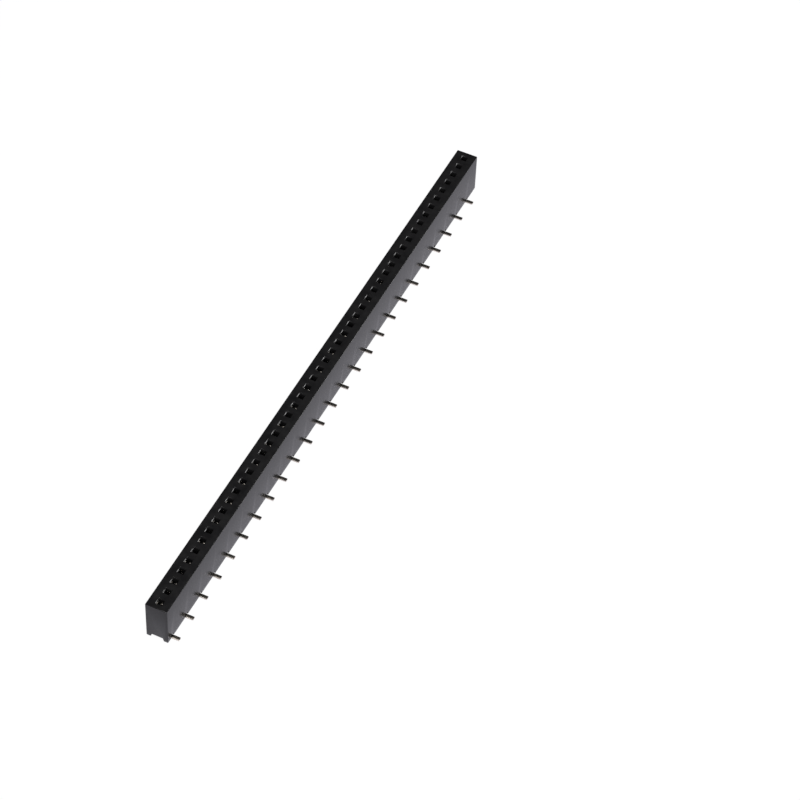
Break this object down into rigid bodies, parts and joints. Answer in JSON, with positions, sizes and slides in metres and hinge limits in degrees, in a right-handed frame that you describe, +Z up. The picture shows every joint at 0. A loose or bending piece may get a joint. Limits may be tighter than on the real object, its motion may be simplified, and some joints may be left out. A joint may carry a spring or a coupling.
{
  "type": "surface mount pin socket strip",
  "caption": "Long black single-row pin socket strip for surface mounting, with flat solder feet that leave alternately to the left and to the right.",
  "frame": {"origin": "middle of the strip in length and width, in the plane of the undersides of the solder feet, which is the board's surface", "axes": "+X along the row from position 1 to the last position, +Y across the row towards the side where the feet of the even positions leave, +Z up out of the board, the way a pin leaves a socket"},
  "size_m": [0.064, 0.0036, 0.0044],
  "materials": {
    "insulator": "black moulded high-temperature thermoplastic, semi-matt",
    "contact": "stamped copper alloy strip, thinly plated, pale gold"
  },
  "bodies": {
    "root": {"housing": "insulator", "contact_01": "contact", "contact_02": "contact", "contact_03": "contact", "contact_04": "contact", "contact_05": "contact", "contact_06": "contact", "contact_07": "contact", "contact_08": "contact", "contact_09": "contact", "contact_10": "contact", "contact_11": "contact", "contact_12": "contact", "contact_13": "contact", "contact_14": "contact", "contact_15": "contact", "contact_16": "contact", "contact_17": "contact", "contact_18": "contact", "contact_19": "contact", "contact_20": "contact", "contact_21": "contact", "contact_22": "contact", "contact_23": "contact", "contact_24": "contact", "contact_25": "contact", "contact_26": "contact", "contact_27": "contact", "contact_28": "contact", "contact_29": "contact", "contact_30": "contact", "contact_31": "contact", "contact_32": "contact", "contact_33": "contact", "contact_34": "contact", "contact_35": "contact", "contact_36": "contact", "contact_37": "contact", "contact_38": "contact", "contact_39": "contact", "contact_40": "contact", "contact_41": "contact", "contact_42": "contact", "contact_43": "contact", "contact_44": "contact", "contact_45": "contact", "contact_46": "contact", "contact_47": "contact", "contact_48": "contact", "contact_49": "contact", "contact_50": "contact"}
  },
  "joints": []
}
